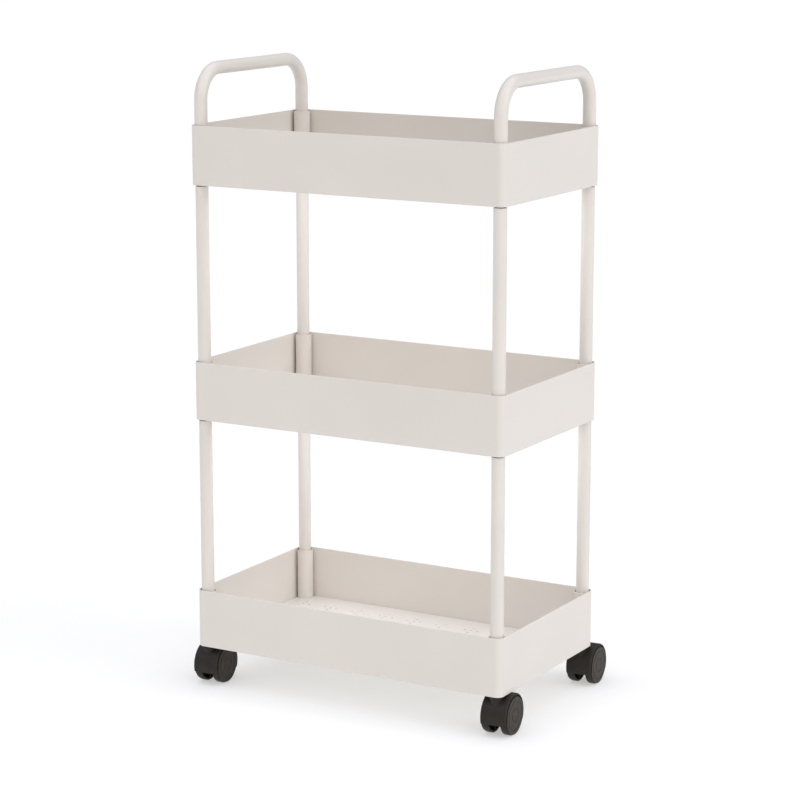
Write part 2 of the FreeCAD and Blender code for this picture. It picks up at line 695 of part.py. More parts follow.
plug = tube_plug()
group("post_bottom_plugs", plug, [
    place for tier in (0, 1) for place in on_all_post_axes(tray_level(tier) + FLOOR_TOP)
])
group("handle_plugs", plug, on_all_post_axes(tray_level(2) + FLOOR_TOP))
group("post_top_plugs", plug, [
    place for tier in (1, 2) for place in on_all_post_axes(tray_level(tier) - size("post_gap"), UPSIDE_DOWN)
])
group("joining_studs", joining_stud(), [
    place for tier in (1, 2) for place in on_all_post_axes(tray_level(tier) + size("floor_recess"))
])
group("caster_washers", caster_washer(), on_all_post_axes(COLLAR_LEVEL + size("collar_height")))
ring_level = COLLAR_LEVEL - size("pin_length") + size("groove_level")
group("stem_retaining_rings", retaining_ring(), on_all_post_axes(ring_level))

for corner in CORNERS:
    caster_stem(f"{corner}_caster_stem", corner)
    caster_hood(f"{corner}_caster_hood", corner)
    caster_axle(f"{corner}_caster_axle", corner)
    caster_wheel(f"{corner}_caster_left_wheel", corner, -1)
    caster_wheel(f"{corner}_caster_right_wheel", corner, 1)

doc.recompute()
for item in doc.Objects:
    if "Invalid" in item.State or "Error" in item.State:
        raise RuntimeError(f"{item.Label} did not compute: {item.State}")

os.makedirs("parts", exist_ok=True)
for node in nodes:
    if node.Shape.isNull() or not node.Shape.isValid() or not node.Shape.Solids:
        raise RuntimeError(f"{node.Label} has no valid solid")
    node.Shape.exportStep(os.path.join("parts", f"{node.Label}.step"))
    print(f"{node.Label}: {len(node.Shape.Solids)} solids, {node.Shape.Volume:.0f} mm3")
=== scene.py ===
"""Looks of a three-tier rolling pantry cart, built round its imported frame.

The tray walls, corner sleeves, posts, handles and twin-wheel casters are modelled
here. The perforated floor pans are the frame's own sheet with its edges bent round, and
the small hardware keeps its own meshes and gets finishes. Metres throughout: +X runs
along the trays, +Y to the back, +Z up.
"""

import json
import logging
import math
from collections.abc import Callable, Iterator
from contextlib import contextmanager
from dataclasses import dataclass
from enum import Enum
from typing import Any

import bmesh
import bpy
from mathutils import Matrix, Vector

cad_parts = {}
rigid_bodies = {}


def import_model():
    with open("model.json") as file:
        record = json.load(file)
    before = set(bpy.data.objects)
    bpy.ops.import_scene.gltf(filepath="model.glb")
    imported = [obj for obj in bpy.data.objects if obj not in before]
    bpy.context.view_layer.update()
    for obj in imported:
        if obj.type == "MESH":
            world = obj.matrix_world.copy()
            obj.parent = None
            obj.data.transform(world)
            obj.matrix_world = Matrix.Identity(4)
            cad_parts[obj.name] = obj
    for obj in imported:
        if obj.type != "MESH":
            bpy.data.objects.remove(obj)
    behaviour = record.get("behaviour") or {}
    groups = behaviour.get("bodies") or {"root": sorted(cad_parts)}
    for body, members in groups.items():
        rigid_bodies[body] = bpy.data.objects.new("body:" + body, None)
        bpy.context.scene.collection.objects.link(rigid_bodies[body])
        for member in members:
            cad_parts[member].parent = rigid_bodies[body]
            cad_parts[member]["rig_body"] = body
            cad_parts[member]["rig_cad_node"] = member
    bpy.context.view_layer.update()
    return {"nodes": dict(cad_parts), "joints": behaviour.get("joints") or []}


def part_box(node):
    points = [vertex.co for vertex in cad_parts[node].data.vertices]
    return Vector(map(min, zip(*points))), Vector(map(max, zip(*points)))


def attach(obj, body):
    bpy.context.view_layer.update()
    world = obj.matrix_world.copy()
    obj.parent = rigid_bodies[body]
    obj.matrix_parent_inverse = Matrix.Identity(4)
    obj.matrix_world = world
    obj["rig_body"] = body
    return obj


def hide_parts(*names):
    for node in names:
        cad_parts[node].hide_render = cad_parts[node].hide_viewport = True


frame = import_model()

MM = 0.001
# Points closer than this are one point.
WELD = 0.01 * MM
# A face whose normal has at least this share along an axis looks along it.
FLAT = 0.999
BODY = "cart_frame"
ALONG = Vector((1, 0, 0))
BACK = Vector((0, 1, 0))
UP = Vector((0, 0, 1))
WHITE = "#ffffff"
QUARTER = math.pi / 2
HALF = math.pi

LOG = logging.getLogger("pantry_cart")


class Slot(Enum):
    """The record's material slots."""

    POWDER_COAT = "powder_coated_steel"
    ZINC = "zinc_plated_steel"
    POLYPROPYLENE = "black_polypropylene"
    NYLON = "black_nylon"


class Tier(Enum):
    """The three trays, from the floor up."""

    BOTTOM = "bottom"
    MIDDLE = "middle"
    TOP = "top"


class Storey(Enum):
    """The two rows of posts."""

    LOWER = "lower"
    UPPER = "upper"


class Corner(Enum):
    """The four corners, as node names call them."""

    FRONT_LEFT = "front_left"
    FRONT_RIGHT = "front_right"
    BACK_LEFT = "back_left"
    BACK_RIGHT = "back_right"


def linear(colour: str) -> tuple[float, float, float, float]:
    """Turn an sRGB colour to linear light.

    Args:
        colour: Six hex digits after a hash sign.

    Returns:
        Red, green, blue and an alpha of 1.
    """
    parts = [int(colour[start : start + 2], 16) / 255 for start in (1, 3, 5)]
    curved = [part / 12.92 if part <= 0.04045 else ((part + 0.055) / 1.055) ** 2.4 for part in parts]
    return curved[0], curved[1], curved[2], 1.0


def add_node(
    tree: bpy.types.NodeTree, kind: str, inputs: dict[str | int, Any] | None = None, **settings: Any
) -> bpy.types.Node:
    """Add a node with its settings and links.

    Args:
        tree: The material's or world's nodes.
        kind: The node's type name.
        inputs: For each input, the socket that feeds it or its own value.
        **settings: The node's other properties.

    Returns:
        The new node.
    """
    node = tree.nodes.new(kind)
    for name, value in settings.items():
        setattr(node, name, value)
    for key, value in (inputs or {}).items():
        if isinstance(value, bpy.types.NodeSocket):
            tree.links.new(value, node.inputs[key])
        else:
            node.inputs[key].default_value = value
    return node


@dataclass(frozen=True)
class Finish:
    """A surface finish whose tone, gloss and relief vary a little, as real ones do."""

    name: str
    slot: Slot
    tone: str
    shade: str
    drift: float
    roughness: tuple[float, float]
    grain: float
    relief: float
    ior: float = 1.5
    metallic: float = 0.0
    specular: float = 0.5

    def height(self, tree: bpy.types.NodeTree, place: bpy.types.NodeSocket) -> bpy.types.NodeSocket:
        """Build the height of the surface's grain.

        Args:
            tree: The material's nodes.
            place: The socket with the point on the piece.

        Returns:
            The socket with the height.
        """
        sizes = {"Vector": place, "Scale": 1 / self.grain, "Detail": 3.0, "Roughness": 0.55}
        return add_node(tree, "ShaderNodeTexNoise", sizes).outputs[0]

    def material(self) -> bpy.types.Material:
        """Build the finish's material from procedural nodes.

        Returns:
            The material, named as the finish.
        """
        made = bpy.data.materials.new(self.name)
        made.use_nodes = True
        tree = made.node_tree
        shader = tree.nodes["Principled BSDF"]
        place = add_node(tree, "ShaderNodeTexCoord").outputs["Object"]
        sizes = {"Vector": place, "Scale": 1 / self.drift, "Detail": 2.0}
        cloud = add_node(tree, "ShaderNodeTexNoise", sizes)
        spread = {"Value": cloud.outputs[0], "From Min": 0.35, "From Max": 0.65}
        share = add_node(tree, "ShaderNodeMapRange", spread).outputs[0]
        tones = {0: share, 6: linear(self.tone), 7: linear(self.shade)}
        colour = add_node(tree, "ShaderNodeMix", tones, data_type="RGBA").outputs[2]
        height = self.height(tree, place)
        gloss = {"Value": height, "To Min": self.roughness[0], "To Max": self.roughness[1]}
        relief = {"Height": height, "Strength": 1.0, "Distance": self.relief}
        fed = {
            "Base Color": colour,
            "Roughness": add_node(tree, "ShaderNodeMapRange", gloss).outputs[0],
            "Normal": add_node(tree, "ShaderNodeBump", relief).outputs[0],
        }
        for name, socket in fed.items():
            tree.links.new(socket, shader.inputs[name])
        shader.inputs["Metallic"].default_value = self.metallic
        shader.inputs["IOR"].default_value = self.ior
        shader.inputs["Specular IOR Level"].default_value = self.specular
        return made


@dataclass(frozen=True)
class CrystalFinish(Finish):
    """A plated finish, whose grain is the small flat crystals of the metal."""

    def height(self, tree: bpy.types.NodeTree, place: bpy.types.NodeSocket) -> bpy.types.NodeSocket:
        """Build flat cells of slightly different heights, as plating has.

        Args:
            tree: The material's nodes.
            place: The socket with the point on the piece.

        Returns:
            The socket with the height.
        """
        cells = add_node(tree, "ShaderNodeTexVoronoi", {"Vector": place, "Scale": 1 / self.grain})
        return add_node(tree, "ShaderNodeSeparateColor", {"Color": cells.outputs["Color"]}).outputs[0]


# Polyester powder baked on sheet steel: satin, warm white, even in tone, with soft and
# slightly uneven highlights. Its orange peel is about 2 mm across and 0.01 mm deep, and is
# drawn 5 mm across and 0.03 mm deep so that it shows.
POWDER_COAT = Finish(
    name="powder_coated_steel",
    slot=Slot.POWDER_COAT,
    tone="#dfdad3",
    shade="#dcd7d0",
    drift=120 * MM,
    roughness=(0.3, 0.44),
    grain=5 * MM,
    relief=0.03 * MM,
)

# Bright zinc plating with a clear passivation: a cold grey metal, silky rather than
# mirror-like. Its crystals are far under 0.1 mm and are drawn 0.6 mm across.
ZINC = CrystalFinish(
    name="zinc_plated_steel",
    slot=Slot.ZINC,
    tone="#c3c6c9",
    shade="#b4b8bc",
    drift=8 * MM,
    roughness=(0.26, 0.38),
    grain=0.6 * MM,
    relief=0.01 * MM,
    metallic=1.0,
)

# Black polypropylene moulded in a spark-eroded tool: matt, charcoal, with a fine stipple.
# The stipple is about 0.2 mm across and is drawn 1 mm across.
POLYPROPYLENE = Finish(
    name="moulded_black_polypropylene",
    slot=Slot.POLYPROPYLENE,
    tone="#2a2622",
    shade="#25211e",
    drift=15 * MM,
    roughness=(0.42, 0.58),
    grain=1 * MM,
    relief=0.03 * MM,
    ior=1.49,
    specular=0.25,
)

# Black nylon moulded in a smoother tool: satin and a little greyer than the hood, with
# flow marks some millimetres long.
NYLON = Finish(
    name="moulded_black_nylon",
    slot=Slot.NYLON,
    tone="#322c25",
    shade="#2d2720",
    drift=10 * MM,
    roughness=(0.36, 0.5),
    grain=2.5 * MM,
    relief=0.02 * MM,
    ior=1.53,
    specular=0.15,
)


@dataclass
class Palette:
    """The materials of all finishes, each built once."""

    made: dict[Finish, bpy.types.Material]

    @classmethod
    def mix(cls, *finishes: Finish) -> "Palette":
        """Build a material for each finish."""
        return cls({finish: finish.material() for finish in finishes})

    def dress(self, piece: bpy.types.Object, finish: Finish) -> None:
        """Give a piece one finish all over.

        Args:
            piece: A new piece or a node of the frame.
            finish: One of the palette's finishes.
        """
        if piece.material_slots:
            for slot in piece.material_slots:
                slot.material = self.made[finish]
        else:
            piece.data.materials.append(self.made[finish])


def select_only(piece: bpy.types.Object) -> None:
    """Deselect everything else, and make a piece the active one."""
    bpy.ops.object.select_all(action="DESELECT")
    piece.select_set(True)
    bpy.context.view_layer.objects.active = piece


def new_piece(
    add: Callable[..., Any], sides: tuple[float, float, float] = (1, 1, 1), **settings: Any
) -> bpy.types.Object:
    """Add a primitive and settle its size and place into its mesh.

    Args:
        add: The primitive's operator.
        sides: What its own X, Y and Z are stretched by before it is turned.
        **settings: The operator's own settings.

    Returns:
        The new object, at the origin.
    """
    bpy.ops.object.select_all(action="DESELECT")
    add(**settings)
    bpy.context.object.scale = sides
    bpy.ops.object.transform_apply(location=True, rotation=True, scale=True)
    return bpy.context.object


@contextmanager
def editing(piece: bpy.types.Object) -> Iterator[None]:
    """Open a piece in edit mode with all of it selected.

    Args:
        piece: The piece to edit.

    Yields:
        Nothing: the operators act on the open piece.
    """
    select_only(piece)
    bpy.ops.object.mode_set(mode="EDIT")
    bpy.ops.mesh.select_all(action="SELECT")
    yield
    bpy.ops.object.mode_set(mode="OBJECT")


def pick(kind: str, test: Callable[[Any], bool]) -> None:
    """Select what passes a test in the open piece, and nothing else.

    Args:
        kind: VERT, EDGE or FACE.
        test: Whether one point, edge or face is wanted.
    """
    bpy.ops.mesh.select_mode(type=kind)
    bpy.ops.mesh.select_all(action="DESELECT")
    mesh = bpy.context.object.data
    net = bmesh.from_edit_mesh(mesh)
    for element in {"VERT": net.verts, "EDGE": net.edges, "FACE": net.faces}[kind]:
        element.select_set(test(element))
    net.select_flush_mode()
    bmesh.update_edit_mesh(mesh)


def extrude(move: tuple[float, float, float]) -> None:
    """Extrude what is selected in the open piece by a move."""
    bpy.ops.mesh.extrude_region_move(TRANSFORM_OT_translate={"value": move, "orient_type": "GLOBAL"})


def spin(centre: Vector, axis: Vector, angle: float, steps: int) -> None:
    """Spin what is selected in the open piece about an axis.

    Args:
        centre: A point on the axis.
        axis: The axis's direction.
        angle: The turn in radians, right-handed about the axis.
        steps: The number of steps.
    """
    bpy.ops.mesh.spin(steps=steps, angle=-angle, center=centre, axis=axis)


def close_up() -> None:
    """Merge the open piece's doubled points and turn its faces outwards."""
    bpy.ops.mesh.select_all(action="SELECT")
    bpy.ops.mesh.remove_doubles(threshold=WELD)
    bpy.ops.mesh.normals_make_consistent(inside=False)


def modify(piece: bpy.types.Object, kind: str, **settings: Any) -> None:
    """Add a modifier and apply it at once.

    Args:
        piece: The piece to change.
        kind: The modifier's type.
        **settings: The modifier's properties.
    """
    select_only(piece)
    modifier = piece.modifiers.new(kind.lower(), kind)
    for name, value in settings.items():
        setattr(modifier, name, value)
    bpy.ops.object.modifier_apply(modifier=modifier.name)


def thicken(piece: bpy.types.Object, sheet: float) -> None:
    """Give an open shell its sheet thickness, inwards from its faces."""
    modify(piece, "SOLIDIFY", thickness=sheet, offset=-1.0, use_even_offset=True)


def round_edges(piece: bpy.types.Object, radius: float, steps: int, sharper_than: float = 50) -> None:
    """Round a piece's sharp edges.

    Args:
        piece: The piece to change.
        radius: The rounding.
        steps: Segments across it.
        sharper_than: The smallest angle that is rounded, in degrees.
    """
    limit = math.radians(sharper_than)
    modify(piece, "BEVEL", width=radius, segments=steps, limit_method="ANGLE", angle_limit=limit)


def smooth(piece: bpy.types.Object, sharper_than: float = 35) -> None:
    """Shade a piece smooth, with its large faces kept flat beside their rounded edges."""
    select_only(piece)
    bpy.ops.object.shade_smooth_by_angle(angle=math.radians(sharper_than))
    modify(piece, "WEIGHTED_NORMAL", keep_sharp=True)


def copy_piece(master: bpy.types.Object, place: Matrix) -> bpy.types.Object:
    """Copy a piece with a mesh of its own and settle it in another place.

    Args:
        master: The piece to copy.
        place: The move from the master's place.

    Returns:
        The copy, at the origin.
    """
    select_only(master)
    bpy.ops.object.duplicate(linked=False)
    twin = bpy.context.object
    twin.matrix_world = place
    bpy.ops.object.transform_apply(location=True, rotation=True, scale=True)
    return twin


def join(pieces: list[bpy.types.Object]) -> bpy.types.Object:
    """Join pieces into the first of them."""
    select_only(pieces[0])
    for piece in pieces:
        piece.select_set(True)
    bpy.ops.object.join()
    return pieces[0]


def remove(piece: bpy.types.Object) -> None:
    """Delete a master that has been copied everywhere it belongs."""
    select_only(piece)
    bpy.ops.object.delete()


def half_turn_about(point: Vector, axis: Vector) -> Matrix:
    """The half turn about an axis through a point."""
    return Matrix.Translation(point) @ Matrix.Rotation(HALF, 4, axis) @ Matrix.Translation(-point)


def install(piece: bpy.types.Object, node: str, body: str, palette: Palette, finish: Finish) -> None:
    """Let a finished piece stand for a node of the frame.

    Args:
        piece: The piece, in place.
        node: The node that it replaces, whose name it takes.
        body: The body that it moves with.
        palette: The materials.
        finish: The piece's finish.
    """
    piece.name = f"{node}_skin"
    piece.data.name = piece.name
    palette.dress(piece, finish)
    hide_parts(node)
    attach(piece, body)
    LOG.info("%s: %d faces", piece.name, len(piece.data.polygons))


def centre_of(node: str) -> Vector:
    """The middle of a node's box."""
    low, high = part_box(node)
    return (low + high) / 2


def joint_place(name: str) -> Vector:
    """The position of a joint at rest."""
    return Vector(next(joint["pos_m"] for joint in frame["joints"] if joint["name"] == name))


@dataclass
class Trays:
    """Wall bands of the trays: one strip of sheet bent round four corners and welded."""

    corner: float = 9 * MM
    sheet: float = 1.2 * MM
    rim: float = 0.5 * MM
    corner_steps: int = 14

    def band(self) -> bpy.types.Object:
        """Model the bottom tray's band.

        Returns:
            The band, in the bottom tray's place.
        """
        low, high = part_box("bottom_tray_walls")
        middle = (low + high) / 2
        size = high - low
        foot = (middle.x, middle.y, low.z)
        band = new_piece(bpy.ops.mesh.primitive_plane_add, (size.x, size.y, 1), size=1, location=foot)
        with editing(band):
            bpy.ops.mesh.bevel(offset=self.corner, segments=self.corner_steps, affect="VERTICES")
            bpy.ops.mesh.delete(type="ONLY_FACE")
            bpy.ops.mesh.select_all(action="SELECT")
            extrude((0, 0, size.z))
            close_up()
        thicken(band, self.sheet)
        round_edges(band, self.rim, 3)
        smooth(band)
        return band

    def build(self, palette: Palette) -> None:
        """Build a band for each tray."""
        master = self.band()
        foot = centre_of("bottom_tray_walls")
        for tier in Tier:
            node = f"{tier.value}_tray_walls"
            band = copy_piece(master, Matrix.Translation(centre_of(node) - foot))
            install(band, node, BODY, palette, POWDER_COAT)
        remove(master)


@dataclass
class FloorPans:
    """Perforated floor pans, whose edges are bent down inside the walls."""

    bend: float = 1.6 * MM
    bend_steps: int = 5
    margin: float = 5.5 * MM

    def pan(self) -> bpy.types.Object:
        """Model the bottom tray's pan: the frame's sheet with its outer edge bent round.

        Returns:
            The pan, in place.
        """
        low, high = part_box("bottom_tray_floor")
        inner = high - Vector((self.margin, self.margin, 0))
        select_only(frame["nodes"]["bottom_tray_floor"])
        bpy.ops.object.duplicate(linked=False)
        pan = bpy.context.object
        pan.parent = None
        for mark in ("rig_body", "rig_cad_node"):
            del pan[mark]
        bpy.ops.mesh.customdata_custom_splitnormals_clear()

        def on_edge(point: bmesh.types.BMVert) -> bool:
            """Whether a point is on the upper face, outside the field of holes."""
            place = point.co
            return place.z > high.z - WELD and (abs(place.x) > inner.x or abs(place.y) > inner.y)

        with editing(pan):
            bpy.ops.mesh.remove_doubles(threshold=WELD)
            bpy.ops.mesh.dissolve_limited(angle_limit=math.radians(0.5))
            pick("EDGE", lambda edge: all(map(on_edge, edge.verts)) and edge.calc_face_angle(0) > 1)
            bpy.ops.mesh.bevel(offset=self.bend, segments=self.bend_steps, affect="EDGES")
        smooth(pan)
        return pan

    def build(self, palette: Palette) -> None:
        """Build a pan for each tray."""
        master = self.pan()
        foot = centre_of("bottom_tray_floor")
        for tier in Tier:
            node = f"{tier.value}_tray_floor"
            pan = copy_piece(master, Matrix.Translation(centre_of(node) - foot))
            install(pan, node, BODY, palette, POWDER_COAT)
        remove(master)


@dataclass
class CornerSleeves:
    """Curved strips that stand in the trays' corners, each open towards an end wall.

    The strip's ends are counted for the front left corner, from +X towards +Y.
    """

    bore: float = 9.5 * MM
    sheet: float = 1.2 * MM
    edge: float = 0.45 * MM
    start: float = math.radians(-59)
    end: float = math.radians(130)
    steps: int = 36

    def strip(self) -> bpy.types.Object:
        """Model the strip of the bottom tray's front left corner.

        Returns:
            The strip, in place.
        """
        low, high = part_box("bottom_tray_front_left_sleeve")
        axis = centre_of("lower_front_left_post")
        axis.z = (low.z + high.z) / 2
        reach = self.bore + self.sheet / 2
        outwards = Vector((math.cos(self.start), math.sin(self.start), 0))
        strip = new_piece(
            bpy.ops.mesh.primitive_plane_add,
            (self.sheet, high.z - low.z, 1),
            size=1,
            location=axis + reach * outwards,
            rotation=(QUARTER, 0, self.start),
        )
        with editing(strip):
            bpy.ops.mesh.bevel(offset=self.edge, segments=3, affect="VERTICES")
            spin(axis, UP, self.end - self.start, self.steps)
            close_up()
        round_edges(strip, self.edge, 2, sharper_than=75)
        smooth(strip)
        return strip

    def build(self, palette: Palette) -> None:
        """Build a strip in every corner of every tray."""
        master = self.strip()
        centre = centre_of("lower_front_left_post")
        centre.z = centre_of("bottom_tray_front_left_sleeve").z
        turns = {
            Corner.FRONT_LEFT: Matrix.Identity(4),
            Corner.FRONT_RIGHT: half_turn_about(centre, BACK),
            Corner.BACK_LEFT: half_turn_about(centre, ALONG),
            Corner.BACK_RIGHT: half_turn_about(centre, UP),
        }
        for tier in Tier:
            for corner, turn in turns.items():
                node = f"{tier.value}_tray_{corner.value}_sleeve"
                target = centre_of(f"lower_{corner.value}_post")
                target.z = centre_of(node).z
                strip = copy_piece(master, Matrix.Translation(target - centre) @ turn)
                install(strip, node, BODY, palette, POWDER_COAT)
        remove(master)


@dataclass
class Tubes:
    """Posts and the two bent handles, all of one round tube."""

    radius: float = 8 * MM
    wall: float = 1.2 * MM
    lip: float = 0.35 * MM
    bend: float = 38 * MM
    sides: int = 64
    bend_steps: int = 24

    def post(self) -> bpy.types.Object:
        """Model the lower front left post.

        Returns:
            The post, in place.
        """
        low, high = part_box("lower_front_left_post")
        post = new_piece(
            bpy.ops.mesh.primitive_cylinder_add,
            vertices=self.sides,
            radius=self.radius,
            depth=high.z - low.z,
            end_fill_type="NOTHING",
            location=(low + high) / 2,
        )
        thicken(post, self.wall)
        round_edges(post, self.lip, 2)
        smooth(post)
        return post

    def handle(self) -> bpy.types.Object:
        """Model the left handle: a leg, a bend, the bar, a bend and a leg.

        Returns:
            The handle, in place.
        """
        low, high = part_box("left_handle")
        middle = (low.x + high.x) / 2
        front = low.y + self.radius
        back = high.y - self.radius
        leg_top = high.z - self.radius - self.bend
        handle = new_piece(
            bpy.ops.mesh.primitive_circle_add,
            vertices=self.sides,
            radius=self.radius,
            location=(middle, front, low.z),
        )
        with editing(handle):
            extrude((0, 0, leg_top - low.z))
            spin(Vector((middle, front + self.bend, leg_top)), ALONG, -QUARTER, self.bend_steps)
            extrude((0, back - front - 2 * self.bend, 0))
            spin(Vector((middle, back - self.bend, leg_top)), ALONG, -QUARTER, self.bend_steps)
            extrude((0, 0, low.z - leg_top))
            close_up()
        thicken(handle, self.wall)
        round_edges(handle, self.lip, 2)
        smooth(handle)
        return handle

    def build(self, palette: Palette) -> None:
        """Build the eight posts and the two handles."""
        post = self.post()
        foot = centre_of("lower_front_left_post")
        for storey in Storey:
            for corner in Corner:
                node = f"{storey.value}_{corner.value}_post"
                piece = copy_piece(post, Matrix.Translation(centre_of(node) - foot))
                install(piece, node, BODY, palette, POWDER_COAT)
        remove(post)
        left = self.handle()
        move = centre_of("right_handle") - centre_of("left_handle")
        right = copy_piece(left, Matrix.Translation(move))
        install(left, "left_handle", BODY, palette, POWDER_COAT)
        install(right, "right_handle", BODY, palette, POWDER_COAT)


@dataclass
class Casters:
    """Hooded twin-wheel casters, modelled on their own axes and then placed.

    On those axes the swivel is the Z axis, the floor is at zero, and the axle lies
    along X behind the swivel.
    """

    trail: float = 16 * MM
    wheel: float = 24 * MM
    wheel_width: float = 9.6 * MM
    outer_face: float = 17.4 * MM
    disc: float = 23 * MM
    disc_proud: float = 2 * MM
    shoulder: float = 0.8 * MM
    rim_wall: float = 2.4 * MM
    disc_wall: float = 2.2 * MM
    hub: float = 6.4 * MM
    hub_proud: float = 0.6 * MM
    bore: float = 3.05 * MM
    bore_depth: float = 7.6 * MM
    wheel_edge: float = 0.3 * MM
    draft: float = 0.4 * MM
    rib: float = 1.4 * MM
    rib_bite: float = 0.5 * MM
    rib_count: int = 6
    ring: float = 18.6 * MM
    ring_width: float = 0.7 * MM
    cap: float = 9 * MM
    groove: float = 0.35 * MM
    hood_bore: float = 24.7 * MM
    hood_wall: float = 2.2 * MM
    hood_half: float = 16.8 * MM
    hood_round: float = 2 * MM
    hood_edge: float = 0.5 * MM
    hood_steps: int = 66
    hood_back: float = math.radians(-24)
    hood_front: float = math.radians(196)
    web_half: float = 6.8 * MM
    web_drop: float = 8 * MM
    web_tail: float = 10 * MM
    web_edge: float = 0.6 * MM
    boss_top: float = 51 * MM
    boss_foot: float = 31 * MM
    boss_radius: float = 8.8 * MM
    boss_foot_radius: float = 4.6 * MM
    socket: float = 4.05 * MM
    socket_floor: float = 2 * MM
    heading: float = math.radians(3)

    @property
    def axle(self) -> Vector:
        """The middle of the axle."""
        return Vector((0, self.trail, self.wheel))

    def from_axle(self, point: Vector) -> float:
        """A point's distance from the axle's line."""
        return math.hypot(point.y - self.axle.y, point.z - self.axle.z)

    def shell(self) -> bpy.types.Object:
        """Model the hood's shell: a section with rounded side edges, spun about the axle.

        Returns:
            The closed shell.
        """
        reach = self.hood_bore + self.hood_wall / 2
        outwards = Vector((0, math.cos(self.hood_back), math.sin(self.hood_back)))
        shell = new_piece(
            bpy.ops.mesh.primitive_plane_add,
            (2 * self.hood_half, self.hood_wall, 1),
            size=1,
            location=self.axle + reach * outwards,
            rotation=(self.hood_back, 0, 0),
        )
        with editing(shell):
            pick("VERT", lambda point: self.from_axle(point.co) > reach)
            bpy.ops.mesh.bevel(offset=self.hood_round, segments=6, affect="VERTICES")
            pick("VERT", lambda point: self.from_axle(point.co) < self.hood_bore + WELD)
            bpy.ops.mesh.bevel(offset=self.hood_round / 5, segments=2, affect="VERTICES")
            bpy.ops.mesh.select_all(action="SELECT")
            spin(self.axle, ALONG, self.hood_front - self.hood_back, self.hood_steps)
            close_up()
        round_edges(shell, self.hood_edge, 3, sharper_than=70)
        return shell

    def web(self) -> bpy.types.Object:
        """Model the web between the wheels, which holds the axle.

        Returns:
            The closed web.
        """
        web = new_piece(
            bpy.ops.mesh.primitive_cylinder_add,
            vertices=128,
            radius=self.hood_bore + self.hood_wall / 3,
            depth=2 * self.web_half,
            location=self.axle,
            rotation=(0, QUARTER, 0),
        )
        with editing(web):
            bpy.ops.mesh.bisect(
                plane_co=self.axle - self.web_drop * UP, plane_no=UP, use_fill=True, clear_inner=True
            )
            bpy.ops.mesh.select_all(action="SELECT")
            bpy.ops.mesh.bisect(
                plane_co=self.axle + self.web_tail * BACK,
                plane_no=-BACK,
                use_fill=True,
                clear_inner=True,
            )
            close_up()
        round_edges(web, self.web_edge, 3, sharper_than=60)
        return web

    def boss(self) -> bpy.types.Object:
        """Model the boss round the stem, which narrows down into the hood's front.

        Returns:
            The closed boss with its socket.
        """
        boss = new_piece(
            bpy.ops.mesh.primitive_cone_add,
            vertices=64,
            radius1=self.boss_foot_radius,
            radius2=self.boss_radius,
            depth=self.boss_top - self.boss_foot,
            location=(0, 0, (self.boss_top + self.boss_foot) / 2),
        )
        with editing(boss):
            pick("FACE", lambda face: face.normal.z > 0.9)
            bpy.ops.mesh.inset(thickness=self.boss_radius - self.socket)
            extrude((0, 0, self.boss_foot + self.socket_floor - self.boss_top))
        round_edges(boss, self.hood_edge, 3, sharper_than=60)
        return boss

    def hood(self) -> bpy.types.Object:
        """Model the whole hood.

        Returns:
            The hood on the caster's own axes.
        """
        hood = join([self.shell(), self.web(), self.boss()])
        smooth(hood)
        return hood

    def right_wheel(self) -> bpy.types.Object:
        """Model the right wheel: a moulded cup with a closed outer disc, a hub and ribs.

        Returns:
            The wheel on the caster's own axes.
        """
        inner = self.outer_face - self.wheel_width
        outer = self.outer_face - self.disc_proud
        hollow = self.wheel_width - self.disc_wall
        wheel = new_piece(
            bpy.ops.mesh.primitive_cylinder_add,
            vertices=96,
            radius=self.wheel,
            depth=outer - inner,
            location=self.axle + (outer + inner) / 2 * ALONG,
            rotation=(0, QUARTER, 0),
        )
        with editing(wheel):
            pick("EDGE", lambda edge: all(point.co.x > outer - WELD for point in edge.verts))
            bpy.ops.mesh.bevel(offset=self.shoulder, segments=5, affect="EDGES")
            pick("EDGE", lambda edge: all(point.co.x < inner + WELD for point in edge.verts))
            bpy.ops.mesh.bevel(offset=self.shoulder, segments=4, affect="EDGES")
            pick("FACE", lambda face: face.normal.x > FLAT)
            bpy.ops.mesh.inset(thickness=self.wheel - self.shoulder - self.disc)
            extrude((self.disc_proud, 0, 0))
            flat = self.disc
            for radius in (self.ring, self.cap):
                bpy.ops.mesh.inset(thickness=flat - radius)
                bpy.ops.mesh.inset(thickness=self.groove, depth=-self.groove)
                bpy.ops.mesh.inset(thickness=self.ring_width)
                bpy.ops.mesh.inset(thickness=self.groove, depth=self.groove)
                flat = radius - 2 * self.groove - self.ring_width
            pick("FACE", lambda face: face.normal.x < -FLAT)
            bpy.ops.mesh.inset(thickness=self.rim_wall - self.shoulder)
            bpy.ops.mesh.inset(thickness=self.draft, depth=-hollow)
            bpy.ops.mesh.inset(thickness=self.wheel - self.rim_wall - self.hub - 2 * self.draft)
            bpy.ops.mesh.inset(thickness=self.draft, depth=hollow + self.hub_proud)
            bpy.ops.mesh.inset(thickness=self.hub - self.bore)
            extrude((self.bore_depth, 0, 0))
        round_edges(wheel, self.wheel_edge, 3, sharper_than=60)
        return join([wheel, *self.ribs(inner)])

